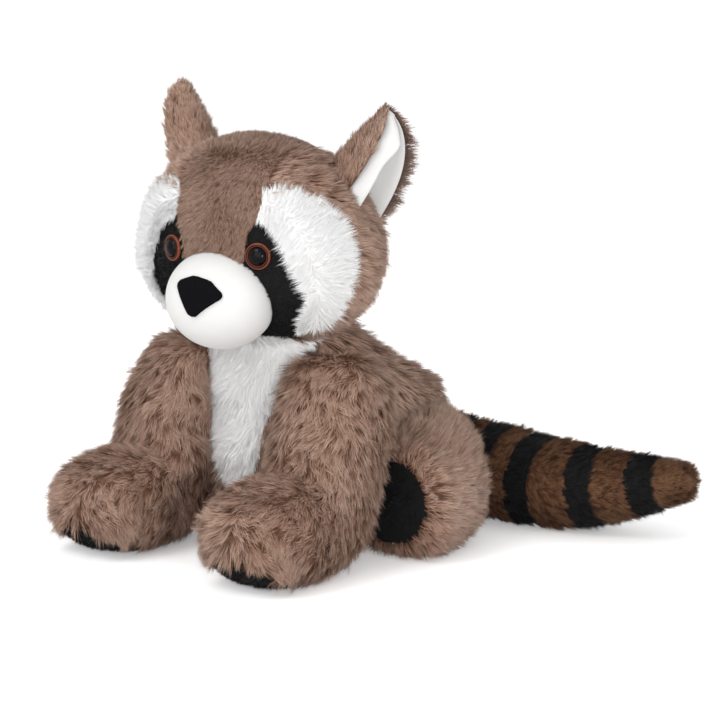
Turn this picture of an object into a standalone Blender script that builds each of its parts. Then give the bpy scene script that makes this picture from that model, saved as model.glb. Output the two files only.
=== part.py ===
"""Stuffed toy raccoon, sitting: sewn plush skins over their filling, all one body.

Units are metres and +Z is up. The toy faces -Y, so its left side is at +X.
Every skin is a closed outer form less the same form drawn in by the fabric's thickness.
"""
import bmesh
import bpy
import numpy as np
from math import cos, pi, radians, sin, sqrt
from mathutils import Matrix, Vector

MM = 0.001
LEFT, RIGHT = 1, -1

# Fabric: the pile counts as part of each skin's thickness.
PLUSH = 3.2 * MM
SMOOTH_CLOTH = 1.6 * MM
FELT = 1.4 * MM
GAP = 0.3 * MM

# Body: an egg that leans forward, flat where it sits.
BODY_HALF_WIDTH = 53 * MM
BODY_HALF_DEPTH = 67 * MM
BODY_HEIGHT = 118 * MM
BODY_MIDDLE_Y = 4 * MM
NECK_MIDDLE_Y = -42 * MM
BIB_TOP_HALF_WIDTH = 33 * MM
BIB_LOW_HALF_WIDTH = 21 * MM
BIB_LOW_Z = 32 * MM

# Head, without the muzzle: half sizes about its middle, which stands over the neck. The whole
# head with its muzzle, eyes and ears is turned a little to the toy's left.
HEAD_TURN = radians(4.5)
HEAD_MIDDLE_Y = NECK_MIDDLE_Y - 10 * MM
HEAD_MIDDLE_Z = BODY_HEIGHT + 32 * MM
HEAD_HALF_WIDTH = 63 * MM
HEAD_FRONT = 34 * MM
HEAD_BACK = 47 * MM
HEAD_HALF_HEIGHT = 49 * MM
JOWL = 0.14

# Face panels: the cheek's top and the chin's top are shares of the head's half height.
GUSSET_HALF_WIDTH = 23.5 * MM
GUSSET_NOSE_HALF_WIDTH = 17 * MM
PATCH_REACH = 46 * MM
CHEEK_BACK = 6 * MM
CHEEK_TOP = 0.59
CHIN_HALF_WIDTH = 24 * MM
CHIN_TOP = -0.77

# Muzzle: a ball set into the face, with a flat nose sewn on it a little askew.
MUZZLE_MIDDLE_Y = HEAD_MIDDLE_Y - 27.5 * MM
MUZZLE_MIDDLE_Z = HEAD_MIDDLE_Z - 25.5 * MM
MUZZLE_HALF_WIDTH = 27.5 * MM
MUZZLE_HALF_DEPTH = 23 * MM
MUZZLE_HALF_HEIGHT = 23.5 * MM
NOSE_HALF_WIDTH = 12.6 * MM
NOSE_HEIGHT = 18.5 * MM
NOSE_RISE = 3.6 * MM
NOSE_ASIDE = 3 * MM
NOSE_TILT = radians(11)

# Eyes: a domed pupil with its shank, an iris ring around it and a washer behind the cloth.
EYE_APART = 50 * MM
EYE_RISE = -3 * MM
EYE_TURN = radians(16)
IRIS_RADIUS = 6.2 * MM
PUPIL_RADIUS = 4.5 * MM
EYE_BULGE = 2.6 * MM
SHANK_RADIUS = 1.6 * MM
SHANK_LENGTH = 9 * MM
WASHER_RADIUS = 5.6 * MM
WASHER_THICKNESS = 1.5 * MM
WASHER_SLACK = 2.2 * MM

# Ears: a leaf folded lengthwise, open to the side, its fold inward and its front wall the shorter.
# The right one stands more upright.
EAR_ROOT = Vector((0, HEAD_MIDDLE_Y, HEAD_MIDDLE_Z)) + Vector((35, 9.5, 31)) * MM
EAR_TIP = EAR_ROOT + Vector((27, 10, 31.5)) * MM
RIGHT_EAR_IN = 2 * MM
RIGHT_EAR_UP = 7 * MM
EAR_SUNK = -0.3
EAR_HALF_WIDTH = 13 * MM
EAR_CUP = 33 * MM
EAR_FRONT_CURL = radians(58)
EAR_BACK_CURL = radians(84)
EAR_OPENS = Vector((0.92, 0.30, 0))
EAR_BACK_PILE = 2.6 * MM

# Arm: from the shoulder down to the paw that stands in front of it. The right one lies wider
# at the shoulder, and its paw a little farther back.
SHOULDER = Vector((40, -36, 94)) * MM
ELBOW = Vector((46, -52, 60)) * MM
WRIST = Vector((50, -70, 30)) * MM
PAW = Vector((51, -99, 23)) * MM
RIGHT_ARM_OUT = 7 * MM
RIGHT_PAW_BACK = 4 * MM
ARM_RADIUS = 25 * MM
PAW_HALF_WIDTH = 28 * MM
PAW_HALF_HEIGHT = 24 * MM
PAW_REACH = 30 * MM
PAW_PAD_RADIUS = 21 * MM
PAW_PAD_TILT = radians(33)

# Hind leg: from the hip forward to a round sole.
HIP = Vector((32, 22, 34)) * MM
KNEE = Vector((52, 4, 30)) * MM
FOOT = Vector((61, -13, 27)) * MM
THIGH_RADIUS = 32 * MM
FOOT_RADIUS = 27 * MM
SOLE_REACH = 15 * MM
FOOT_PAD_RADIUS = 19.5 * MM

# Tail: lies on the ground and swings to the toy's left, in bands from its root to its tip, whose
# widths share its length. The bands that start within the first share of it meet the body.
TAIL_ROOT = Vector((-2 * MM, BODY_MIDDLE_Y + BODY_HALF_DEPTH - 13 * MM, 32 * MM))
TAIL_BEND = TAIL_ROOT + Vector((52, 15, -9)) * MM
TAIL_MIDDLE = TAIL_ROOT + Vector((100, 19, -10)) * MM
TAIL_TIP = TAIL_ROOT + Vector((158, 28, -1)) * MM
TAIL_RADIUS = 23 * MM
TAIL_TIP_RADIUS = 8.5 * MM
BAND_SHARES = [25, 11, 9.5, 12.5, 13, 14, 18, 12.5, 17.5, 13, 16.6]
NEAR_BODY = 0.4


def clear_scene():
    for item in list(bpy.data.objects):
        bpy.data.objects.remove(item, do_unlink=True)


def new_collection(name):
    group = bpy.data.collections.new(name)
    bpy.context.scene.collection.children.link(group)
    return group


def material(name, colour, roughness):
    made = bpy.data.materials.new(name)
    made.use_nodes = True
    surface = made.node_tree.nodes["Principled BSDF"]
    surface.inputs["Base Color"].default_value = (*colour, 1.0)
    surface.inputs["Roughness"].default_value = roughness
    surface.inputs["Metallic"].default_value = 0.0
    made.diffuse_color = (*colour, 1.0)
    return made


clear_scene()
TOY = new_collection("plush_raccoon")
CUTTERS = new_collection("cutters")
BROWN = material("brown_plush", (0.21, 0.125, 0.085), 0.95)
SHORT_BROWN = material("short_brown_plush", (0.19, 0.115, 0.08), 0.95)
WHITE = material("white_plush", (0.8, 0.79, 0.77), 0.95)
BLACK = material("black_plush", (0.010, 0.010, 0.012), 0.95)
TAIL_BROWN = material("tail_brown_plush", (0.13, 0.07, 0.035), 0.95)
WHITE_CLOTH = material("smooth_white_cloth", (0.85, 0.84, 0.83), 0.85)
NOSE_BLACK = material("black_felt", (0.012, 0.012, 0.014), 0.9)
EYE_BLACK = material("black_plastic", (0.008, 0.007, 0.007), 0.12)
EYE_BROWN = material("brown_plastic", (0.22, 0.05, 0.02), 0.15)
FILLING = material("fibre_filling", (0.86, 0.86, 0.84), 1.0)


def put(name, bm, colour, group):
    mesh = bpy.data.meshes.new(name)
    bm.to_mesh(mesh)
    bm.free()
    mesh.shade_smooth()
    mesh.materials.append(colour)
    made = bpy.data.objects.new(name, mesh)
    group.objects.link(made)
    return made


def cutter(name, bm):
    made = put(name, bm, FILLING, CUTTERS)
    made.hide_render = True
    made.display_type = "WIRE"
    return made


def piece(name, bm, colour, cut=(), keep=()):
    """A sub-part: its mesh kept where it lies in every `keep` cutter and in no `cut` cutter."""
    made = put(name, bm, colour, TOY)
    for operation, tools in (("INTERSECT", keep), ("DIFFERENCE", cut)):
        for tool in tools:
            step = made.modifiers.new(tool.name, "BOOLEAN")
            step.operation = operation
            step.solver = "EXACT"
            step.object = tool
    return made


def on_side(bm, side):
    """The mesh as modelled at the toy's left, or its mirror image for the right."""
    if side == RIGHT:
        for v in bm.verts:
            v.co.x = -v.co.x
        bmesh.ops.reverse_faces(bm, faces=bm.faces)
    return bm


def mirrored(point, side):
    return Vector((point.x * side, point.y, point.z))


def side_name(name, side):
    return name + ("_left" if side == LEFT else "_right")


def smooth_path(points, places):
    """Points of a Catmull-Rom curve through the given ones, at places from 0 to 1."""
    ends = [points[0] * 2 - points[1], *points, points[-1] * 2 - points[-2]]
    spots = []
    for share in places:
        place = share * (len(points) - 1)
        k = min(int(place), len(points) - 2)
        t = place - k
        a, b, c, d = ends[k:k + 4]
        spots.append(((b * 2) + (c - a) * t + (a * 2 - b * 5 + c * 4 - d) * t * t
                      + (b * 3 - a - c * 3 + d) * t * t * t) / 2)
    return spots


def ring_frames(points, places):
    """A side and an up direction across the path at each place along it."""
    step = 0.03
    frames = []
    for share in places:
        low, high = smooth_path(points, (max(share - step, 0.0), min(share + step, 1.0)))
        ahead = (high - low).normalized()
        side = ahead.cross(Vector((0, 0, 1))).normalized()
        frames.append((side, side.cross(ahead).normalized()))
    return frames


def loft(rings, ends="middle"):
    """A closed mesh through rings of points.

    Its ends meet at a point in their middle, or as a strip across a flat ring, or each other.
    """
    bm = bmesh.new()
    rows = [[bm.verts.new(p) for p in ring] for ring in rings]
    count = len(rings[0])
    pairs = list(zip(rows, rows[1:])) + ([(rows[-1], rows[0])] if ends == "each other" else [])
    for low, high in pairs:
        for k in range(count):
            n = (k + 1) % count
            bm.faces.new((low[k], low[n], high[n], high[k]))
    for row in (rows[0], rows[-1]):
        if ends == "strip":
            for k in range(count // 2 - 1):
                bm.faces.new((row[k], row[k + 1], row[count - 2 - k], row[count - 1 - k]))
        elif ends == "middle":
            middle = bm.verts.new(sum((v.co for v in row), Vector()) / count)
            for k in range(count):
                bm.faces.new((row[k], row[(k + 1) % count], middle))
    bmesh.ops.triangulate(bm, faces=bm.faces)
    bmesh.ops.recalc_face_normals(bm, faces=bm.faces)
    return bm


def squarish(angle, power):
    """Where a rounded square's outline lies at an angle: a circle at power 2, squarer above it."""
    c, s = cos(angle), sin(angle)
    return abs(c) ** (2 / power) * (1 if c > 0 else -1), abs(s) ** (2 / power) * (1 if s > 0 else -1)


def tube(points, radii, stations, around, power=2.0):
    """A closed tube along a smooth path, its half width and half height read along it."""
    places = np.linspace(0, 1, stations)
    spots = smooth_path(points, places)
    marks, wide, high = (np.array(row) for row in zip(*radii))
    wide, high = np.interp(places, marks, wide), np.interp(places, marks, high)
    rings = []
    for spot, (side, up), w, h in zip(spots, ring_frames(points, places), wide, high):
        outline = [squarish(2 * pi * k / around, power) for k in range(around)]
        rings.append([spot + side * (w * c) + up * (h * s) for c, s in outline])
    return loft(rings)


def ball(reshape, segments, rings):
    """A sphere primitive of radius 1 with each of its points moved by `reshape`."""
    bm = bmesh.new()
    bmesh.ops.create_uvsphere(bm, u_segments=segments, v_segments=rings, radius=1.0)
    bmesh.ops.triangulate(bm, faces=bm.faces)
    for v in bm.verts:
        v.co = reshape(v.co)
    return bm


def grown(bm, distance, floor=-1.0):
    """Moves the surface out along its normals, and flattens what would pass the floor."""
    bm.normal_update()
    moves = [v.normal * distance for v in bm.verts]
    for v, move in zip(bm.verts, moves):
        v.co += move
        v.co.z = max(v.co.z, floor)
    return bm


def prism(outline, y_from, y_to, grow=0.0):
    """A block along Y with an outline of (x, z) points, which `grow` moves out."""
    points = [Vector(p) for p in outline]
    area = sum(a.x * b.y - b.x * a.y for a, b in zip(points, points[1:] + points[:1]))
    turn = 1 if area > 0 else -1
    moved = []
    for k, p in enumerate(points):
        before = (p - points[k - 1]).normalized()
        after = (points[(k + 1) % len(points)] - p).normalized()
        outward = (Vector((before.y, -before.x)) + Vector((after.y, -after.x))).normalized() * turn
        moved.append(p + outward * grow)
    bm = bmesh.new()
    front = [bm.verts.new((p.x, y_from - grow, p.y)) for p in moved]
    back = [bm.verts.new((p.x, y_to + grow, p.y)) for p in moved]
    bm.faces.new(front)
    bm.faces.new(back)
    for k in range(len(moved)):
        n = (k + 1) % len(moved)
        bm.faces.new((front[k], front[n], back[n], back[k]))
    bmesh.ops.recalc_face_normals(bm, faces=bm.faces)
    return bm


def rod(start, end, radius, sides=20):
    """A plain cylinder between two points."""
    axis = end - start
    bm = bmesh.new()
    turn = axis.to_track_quat("Z", "Y").to_matrix().to_4x4()
    bmesh.ops.create_cone(bm, cap_ends=True, segments=sides, radius1=radius, radius2=radius,
                          depth=axis.length, matrix=Matrix.Translation((start + end) / 2) @ turn)
    return bm


def turned(name, profile, colour, spot, facing, group, steps=16):
    """A solid of revolution from (radius, height) points, standing on `spot` and facing outward."""
    mesh = bpy.data.meshes.new(name)
    count = len(profile)
    closed = profile[0][0] > 0
    edges = [(k, k + 1) for k in range(count - 1)] + ([(count - 1, 0)] if closed else [])
    mesh.from_pydata([(r, 0.0, z) for r, z in profile], edges, [])
    mesh.materials.append(colour)
    made = bpy.data.objects.new(name, mesh)
    screw = made.modifiers.new("turn", "SCREW")
    screw.steps = screw.render_steps = steps
    screw.use_merge_vertices = True
    screw.merge_threshold = 0.00001
    made.location = spot
    made.rotation_euler = facing.to_track_quat("Z", "X").to_euler()
    group.objects.link(made)
    return made


def head_form(detail=1.0):
    def reshape(p):
        deep = HEAD_FRONT if p.y < 0 else HEAD_BACK
        return Vector((p.x * HEAD_HALF_WIDTH * (1 - JOWL * p.z), HEAD_MIDDLE_Y + p.y * deep,
                       HEAD_MIDDLE_Z + p.z * HEAD_HALF_HEIGHT))
    return ball(reshape, 4 * round(6 * detail), 2 * round(7 * detail))


def muzzle_form(detail=1.0):
    def reshape(p):
        return Vector((p.x * MUZZLE_HALF_WIDTH, MUZZLE_MIDDLE_Y + p.y * MUZZLE_HALF_DEPTH,
                       MUZZLE_MIDDLE_Z + p.z * MUZZLE_HALF_HEIGHT))
    return ball(reshape, 4 * round(5 * detail), 2 * round(5 * detail))


def body_form(detail=1.0):
    """Rings from the seat up to the neck: (share of height, width, depth, way to the neck)."""
    profile = [(0.0, 0.68, 0.66, 0.0), (0.07, 0.88, 0.88, 0.0), (0.21, 1.0, 1.0, 0.0),
               (0.42, 0.98, 1.0, 0.0), (0.60, 0.94, 0.88, 0.14), (0.74, 0.86, 0.62, 0.50),
               (0.88, 0.73, 0.42, 0.80), (1.0, 0.50, 0.27, 1.0)]
    marks, width, depth, lean = (np.array(row) for row in zip(*profile))
    around = 4 * round(6 * detail)
    rings = []
    for share in np.linspace(0, 1, round(11 * detail)):
        w = BODY_HALF_WIDTH * np.interp(share, marks, width)
        d = BODY_HALF_DEPTH * np.interp(share, marks, depth)
        y = BODY_MIDDLE_Y + (NECK_MIDDLE_Y - BODY_MIDDLE_Y) * np.interp(share, marks, lean)
        angles = [2 * pi * k / around for k in range(around)]
        rings.append([Vector((w * cos(a), y + d * sin(a), BODY_HEIGHT * share)) for a in angles])
    return loft(rings)


def arm_path(side):
    """The arm's points at the toy's left, or the right arm's as they would lie there."""
    if side == LEFT:
        return [SHOULDER, ELBOW, WRIST, PAW]
    out, back = Vector((RIGHT_ARM_OUT, 0, 0)), Vector((0, RIGHT_PAW_BACK, 0))
    return [SHOULDER + out, ELBOW + out * 0.7, WRIST + back * 0.5, PAW + back]


def arm_form(side, grow, floor, detail=1.0):
    points = arm_path(side)
    toe = points[-1] + Vector((0, -PAW_REACH, 0.1 * PAW_HALF_HEIGHT))
    radii = [(0.0, ARM_RADIUS * 0.5, ARM_RADIUS * 0.45), (0.09, ARM_RADIUS * 0.87, ARM_RADIUS * 0.8),
             (0.18, ARM_RADIUS * 0.97, ARM_RADIUS * 0.95), (0.3, ARM_RADIUS, ARM_RADIUS),
             (0.5, ARM_RADIUS, ARM_RADIUS), (0.75, PAW_HALF_WIDTH, PAW_HALF_HEIGHT),
             (0.88, PAW_HALF_WIDTH * 0.93, PAW_HALF_HEIGHT * 0.84),
             (0.96, PAW_HALF_WIDTH * 0.68, PAW_HALF_HEIGHT * 0.58),
             (1.0, PAW_HALF_WIDTH * 0.34, PAW_HALF_HEIGHT * 0.28)]
    form = tube([*points, toe], radii, round(12 * detail), 4 * round(4 * detail), 2.5)
    return on_side(grown(form, grow, floor), side)


def leg_form(side, grow, floor, detail=1.0):
    sole = FOOT + Vector((0.13 * SOLE_REACH, -SOLE_REACH, 0))
    radii = [(0.0, THIGH_RADIUS, THIGH_RADIUS), (0.4, THIGH_RADIUS * 0.95, THIGH_RADIUS * 0.95),
             (0.7, FOOT_RADIUS, FOOT_RADIUS), (0.9, FOOT_RADIUS * 0.95, FOOT_RADIUS * 0.95),
             (1.0, FOOT_RADIUS * 0.72, FOOT_RADIUS * 0.72)]
    form = tube([HIP, KNEE, FOOT, sole], radii, round(9 * detail), 4 * round(4 * detail), 2.4)
    return on_side(grown(form, grow, floor), side)


def tail_rings(places, inset, around=16):
    """Rings across the tail at places from root 0 to tip 1, drawn in by the inset."""
    path = [TAIL_ROOT, TAIL_BEND, TAIL_MIDDLE, TAIL_TIP]
    marks = [0.0, 0.35, 0.62, 0.85, 1.0]
    radii = [0.9 * TAIL_RADIUS, TAIL_RADIUS, 0.93 * TAIL_RADIUS, 0.62 * TAIL_RADIUS, TAIL_TIP_RADIUS]
    rings = []
    drawn = zip(smooth_path(path, places), ring_frames(path, places), np.interp(places, marks, radii))
    for spot, (side, up), r in drawn:
        r -= inset
        angles = [2 * pi * k / around for k in range(around)]
        ring = [spot + side * (r * cos(a)) + up * (r * sin(a)) for a in angles]
        rings.append([Vector((p.x, p.y, max(p.z, inset))) for p in ring])
    return rings


# Whole forms that their neighbours are cut with: one grown by the sewing gap, and one drawn in
# by its fabric, which is the room that the filling takes. The filling's forms have less detail.
INNER = 0.72
BODY_CLEAR = cutter("body_clear", grown(body_form(), GAP, -GAP))
BODY_ROOM = cutter("body_room", grown(body_form(INNER), -PLUSH, PLUSH))
UNTURNED = {BODY_CLEAR, BODY_ROOM}
HEAD_CLEAR = cutter("head_clear", grown(head_form(), GAP))
HEAD_ROOM = cutter("head_room", grown(head_form(INNER), -PLUSH))
MUZZLE_CLEAR = cutter("muzzle_clear", grown(muzzle_form(), GAP))
MUZZLE_ROOM = cutter("muzzle_room", grown(muzzle_form(0.8), -SMOOTH_CLOTH))


def face_outlines():
    """Outlines of the face's panels as seen from the front, at the toy's left, as (x, z).

    Each z is first a share of the head's half height, measured up from its middle.
    """
    nose, brow, reach, top = GUSSET_NOSE_HALF_WIDTH, GUSSET_HALF_WIDTH, PATCH_REACH, CHEEK_TOP
    gusset = [(-nose, -0.10), (-0.4 * nose, -0.33), (0.4 * nose, -0.33), (nose, -0.10),
              (1.15 * nose, 0.14), (brow, 0.31), (brow, 2), (-brow, 2), (-brow, 0.31),
              (-1.15 * nose, 0.14)]
    patch = [(0.12 * reach, -0.29), (0.12 * reach, -0.61), (0.25 * reach, -0.90),
             (0.62 * reach, -0.90), (0.86 * reach, -0.69), (0.98 * reach, -0.53),
             (reach, -0.37), (0.93 * reach, -0.18), (0.84 * reach, 0), (0.78 * reach, 0.12),
             (0.66 * reach, 0.22), (0.52 * reach, 0.29), (0.40 * reach, 0.16)]
    wide = 1.3 * HEAD_HALF_WIDTH
    cheek = [(0.64 * reach, -1.3), (0.64 * reach, -0.86), (0.75 * reach, -0.61),
             (0.78 * reach, -0.29), (0.6 * reach, 0.08), (0.45 * reach, 0.20),
             (0.4 * reach, top - 0.08), (0.62 * reach, top), (0.84 * reach, top),
             (1.02 * reach, top - 0.08), (1.2 * reach, top - 0.24), (wide, top - 0.45), (wide, -1.3)]
    half = CHIN_HALF_WIDTH
    chin = [(-half, CHIN_TOP), (-1.1 * half, -1.4), (1.1 * half, -1.4), (half, CHIN_TOP)]
    return [[(x, HEAD_MIDDLE_Z + height * HEAD_HALF_HEIGHT) for x, height in outline]
            for outline in (gusset, patch, cheek, chin)]


def build_head():
    gusset, patch, cheek, chin = face_outlines()
    front = HEAD_MIDDLE_Y - 2 * HEAD_FRONT
    behind = HEAD_MIDDLE_Y + 2 * HEAD_BACK
    deep, cheek_end = HEAD_MIDDLE_Y, HEAD_MIDDLE_Y - CHEEK_BACK

    def regions(name, outline, y_to, side=LEFT):
        """The panel's block, and the same block grown by the seam's gap."""
        blocks = [on_side(prism(outline, front, y_to, grow), side) for grow in (0, GAP)]
        return [cutter(side_name(part, side), bm) for part, bm in zip((name, name + "_seam"), blocks)]

    gusset_region, gusset_seam = regions("gusset_region", gusset, behind)
    chin_region, chin_seam = regions("chin_region", chin, deep)
    inside = [HEAD_ROOM, MUZZLE_ROOM, BODY_ROOM]
    patch_regions = {side: regions("patch_region", patch, deep, side) for side in (LEFT, RIGHT)}
    cheek_regions = {side: regions("cheek_region", cheek, cheek_end, side) for side in (LEFT, RIGHT)}
    patch_seams = [patch_regions[side][1] for side in (LEFT, RIGHT)]
    cheek_seams = [cheek_regions[side][1] for side in (LEFT, RIGHT)]
    far, top = 2 * HEAD_HALF_WIDTH, HEAD_MIDDLE_Z + 2 * HEAD_HALF_HEIGHT

    piece("head_gusset", head_form(), SHORT_BROWN, cut=inside, keep=[gusset_region])
    piece("chin_panel", head_form(), WHITE, cut=[*inside, *patch_seams], keep=[chin_region])
    for side in (LEFT, RIGHT):
        shank = eye_shank_room(side, SHANK_RADIUS + GAP, "shank_hole")
        piece(side_name("eye_patch", side), head_form(), BLACK,
              cut=[*inside, gusset_seam, shank], keep=[patch_regions[side][0]])
        piece(side_name("cheek", side), head_form(), WHITE,
              cut=[*inside, gusset_seam, chin_seam, patch_regions[side][1]],
              keep=[cheek_regions[side][0]])
        half = prism([(GAP / 2, 0), (far, 0), (far, top), (GAP / 2, top)], front, behind)
        piece(side_name("head_side", side), head_form(), BROWN,
              cut=[*inside, gusset_seam, chin_seam, *patch_seams, *cheek_seams],
              keep=[cutter(side_name("head_half", side), on_side(half, side))])

    piece("muzzle", muzzle_form(), WHITE_CLOTH, cut=[MUZZLE_ROOM, HEAD_CLEAR])
    stuffing = piece("head_stuffing", grown(head_form(INNER), -PLUSH - GAP), FILLING)
    join = stuffing.modifiers.new("muzzle_stuffing", "BOOLEAN")
    join.operation = "UNION"
    join.object = cutter("muzzle_stuffing", grown(muzzle_form(0.8), -SMOOTH_CLOTH - GAP))
    for side in (LEFT, RIGHT):
        pocket = stuffing.modifiers.new(side_name("eye_pocket", side), "BOOLEAN")
        pocket.operation = "DIFFERENCE"
        pocket.object = eye_shank_room(side, WASHER_RADIUS + GAP, "eye_pocket")


def build_nose():
    w, top = NOSE_HALF_WIDTH, MUZZLE_MIDDLE_Z + NOSE_RISE + NOSE_HEIGHT / 2
    low = top - NOSE_HEIGHT
    outline = [(0, low), (0.16 * w, low + 0.03 * NOSE_HEIGHT), (0.55 * w, low + 0.33 * NOSE_HEIGHT),
               (0.97 * w, low + 0.62 * NOSE_HEIGHT), (w, low + 0.70 * NOSE_HEIGHT),
               (0.93 * w, low + 0.78 * NOSE_HEIGHT), (0.42 * w, low + 0.98 * NOSE_HEIGHT),
               (0.2 * w, top), (-0.2 * w, top), (-0.42 * w, low + 0.98 * NOSE_HEIGHT),
               (-0.93 * w, low + 0.78 * NOSE_HEIGHT), (-w, low + 0.70 * NOSE_HEIGHT),
               (-0.97 * w, low + 0.62 * NOSE_HEIGHT), (-0.55 * w, low + 0.33 * NOSE_HEIGHT),
               (-0.16 * w, low + 0.03 * NOSE_HEIGHT)]
    middle = Vector((0, MUZZLE_MIDDLE_Z + NOSE_RISE))
    tilt = Matrix.Rotation(-NOSE_TILT, 2)
    aside = Vector((NOSE_ASIDE, 0))
    outline = [middle + aside + tilt @ (Vector(point) - middle) for point in outline]
    front = MUZZLE_MIDDLE_Y - 2 * MUZZLE_HALF_DEPTH
    region = cutter("nose_region", prism(outline, front, MUZZLE_MIDDLE_Y - 0.3 * MUZZLE_HALF_DEPTH))
    piece("nose", grown(muzzle_form(), GAP + FELT), NOSE_BLACK, cut=[MUZZLE_CLEAR], keep=[region])


def eye_place(side):
    """The spot on the head's surface that an eye sits on, and the direction that it faces."""
    x, z = EYE_APART / 2, EYE_RISE / HEAD_HALF_HEIGHT
    across = x / (HEAD_HALF_WIDTH * (1 - JOWL * z))
    y = HEAD_MIDDLE_Y - HEAD_FRONT * sqrt(1 - across ** 2 - z ** 2)
    facing = Vector((sin(EYE_TURN), -cos(EYE_TURN), 0))
    return mirrored(Vector((x, y, HEAD_MIDDLE_Z + EYE_RISE)), side), mirrored(facing, side)


def eye_shank_room(side, radius, name):
    """Room for an eye's shank, from behind its end out through the cloth."""
    spot, facing = eye_place(side)
    behind = spot - facing * (SHANK_LENGTH + 2 * GAP)
    return cutter(side_name(name, side), rod(behind, spot + facing * PLUSH, radius))


def build_eyes():
    for side in (LEFT, RIGHT):
        spot, facing = eye_place(side)
        seat = spot + facing * GAP
        dome = [(PUPIL_RADIUS * sin(a), EYE_BULGE * cos(a)) for a in np.linspace(0, 0.42 * pi, 5)]
        pupil = [*dome, (PUPIL_RADIUS, 0.0), (SHANK_RADIUS, 0.0), (SHANK_RADIUS, -SHANK_LENGTH),
                 (0.0, -SHANK_LENGTH)]
        turned(side_name("eye_pupil", side), pupil, EYE_BLACK, seat, facing, TOY)
        inner = PUPIL_RADIUS + GAP
        ring = [(inner, 0.5 * EYE_BULGE), (0.97 * IRIS_RADIUS, 0.3 * EYE_BULGE),
                (IRIS_RADIUS, 0.2 * EYE_BULGE), (IRIS_RADIUS, 0.0), (inner, 0.0)]
        turned(side_name("eye_iris", side), ring, EYE_BROWN, seat, facing, TOY)
        hole = SHANK_RADIUS + GAP
        back = -(PLUSH + WASHER_SLACK)
        washer = [(hole, back), (WASHER_RADIUS, back), (WASHER_RADIUS, back - WASHER_THICKNESS),
                  (hole, back - WASHER_THICKNESS)]
        turned(side_name("eye_washer", side), washer, EYE_BLACK, seat, facing, TOY)


def ear_sheet(side, rise, columns=10, rows=9):
    """The ear's leaf as a grid of points, moved toward its opening by `rise`.

    The right ear's is given as it would lie at the toy's left.
    """
    root, tip = EAR_ROOT.copy(), EAR_TIP.copy()
    if side == RIGHT:
        root.x -= RIGHT_EAR_IN
        tip.x -= RIGHT_EAR_IN
        tip.z += RIGHT_EAR_UP
    axis = tip - root
    up = axis.normalized()
    opens = (EAR_OPENS - up * EAR_OPENS.dot(up)).normalized()
    across = up.cross(opens)
    grid = []
    for v in np.linspace(EAR_SUNK, 1, rows):
        narrowing = sqrt(max(1 - max(v, 0) ** 3, 0.035))
        width = EAR_HALF_WIDTH * narrowing - rise
        cup = EAR_CUP * narrowing * (1 - 0.3 * v) - rise
        bends = [(cup * (1 - cos(a)) + rise, width * sin(a))
                 for a in np.linspace(-EAR_FRONT_CURL, EAR_BACK_CURL, columns)]
        grid.append([root + axis * v + opens * out + across * aside for out, aside in bends])
    return grid


def ear_layer(side, low, high):
    """The closed solid between two sheets of the ear, from the one at `low` to the one at `high`."""
    rings = [back + front[::-1] for back, front in zip(ear_sheet(side, low), ear_sheet(side, high))]
    return on_side(loft(rings, "strip"), side)


def build_ears():
    for side in (LEFT, RIGHT):
        back, lining = ear_layer(side, -EAR_BACK_PILE, 0), ear_layer(side, GAP, GAP + SMOOTH_CLOTH)
        piece(side_name("ear_back", side), back, BROWN, cut=[HEAD_CLEAR])
        piece(side_name("ear_lining", side), lining, WHITE_CLOTH, cut=[HEAD_CLEAR])


def turn_head():
    """Turns all that is built so far, but for the body's own forms, about the head's middle."""
    bpy.context.view_layer.update()
    middle = Matrix.Translation((0, HEAD_MIDDLE_Y, 0))
    turn = middle @ Matrix.Rotation(HEAD_TURN, 4, "Z") @ middle.inverted()
    for item in {*TOY.objects, *CUTTERS.objects} - UNTURNED:
        item.matrix_world = turn @ item.matrix_world


def build_body():
    half = [(BIB_TOP_HALF_WIDTH, 1.1 * BODY_HEIGHT), (BIB_TOP_HALF_WIDTH, 0.8 * BODY_HEIGHT),
            (BIB_LOW_HALF_WIDTH, BIB_LOW_Z + 0.12 * BODY_HEIGHT),
            (0.7 * BIB_LOW_HALF_WIDTH, BIB_LOW_Z + 0.035 * BODY_HEIGHT),
            (0.3 * BIB_LOW_HALF_WIDTH, BIB_LOW_Z)]
    bib = half + [(-x, z) for x, z in half[::-1]]
    front, middle = BODY_MIDDLE_Y - 2 * BODY_HALF_DEPTH, NECK_MIDDLE_Y
    region = cutter("bib_region", prism(bib, front, middle))
    seam = cutter("bib_seam", prism(bib, front, middle, GAP))
    around = [HEAD_CLEAR, MUZZLE_CLEAR]
    piece("body_skin", body_form(), BROWN, cut=[BODY_ROOM, *around, seam])
    piece("bib", body_form(), WHITE, cut=[BODY_ROOM, *around], keep=[region])
    piece("body_stuffing", grown(body_form(INNER), -PLUSH - GAP, PLUSH + GAP), FILLING,
          cut=[HEAD_ROOM, MUZZLE_CLEAR])


def pad_blocks(name, side, start, end, radius):
    """A round pad's block, and the same block with the seam's gap around it."""
    return [cutter(side_name(name + "_region", side), rod(start, end, radius)),
            cutter(side_name(name + "_seam", side), rod(start, end, radius + GAP))]


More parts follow.
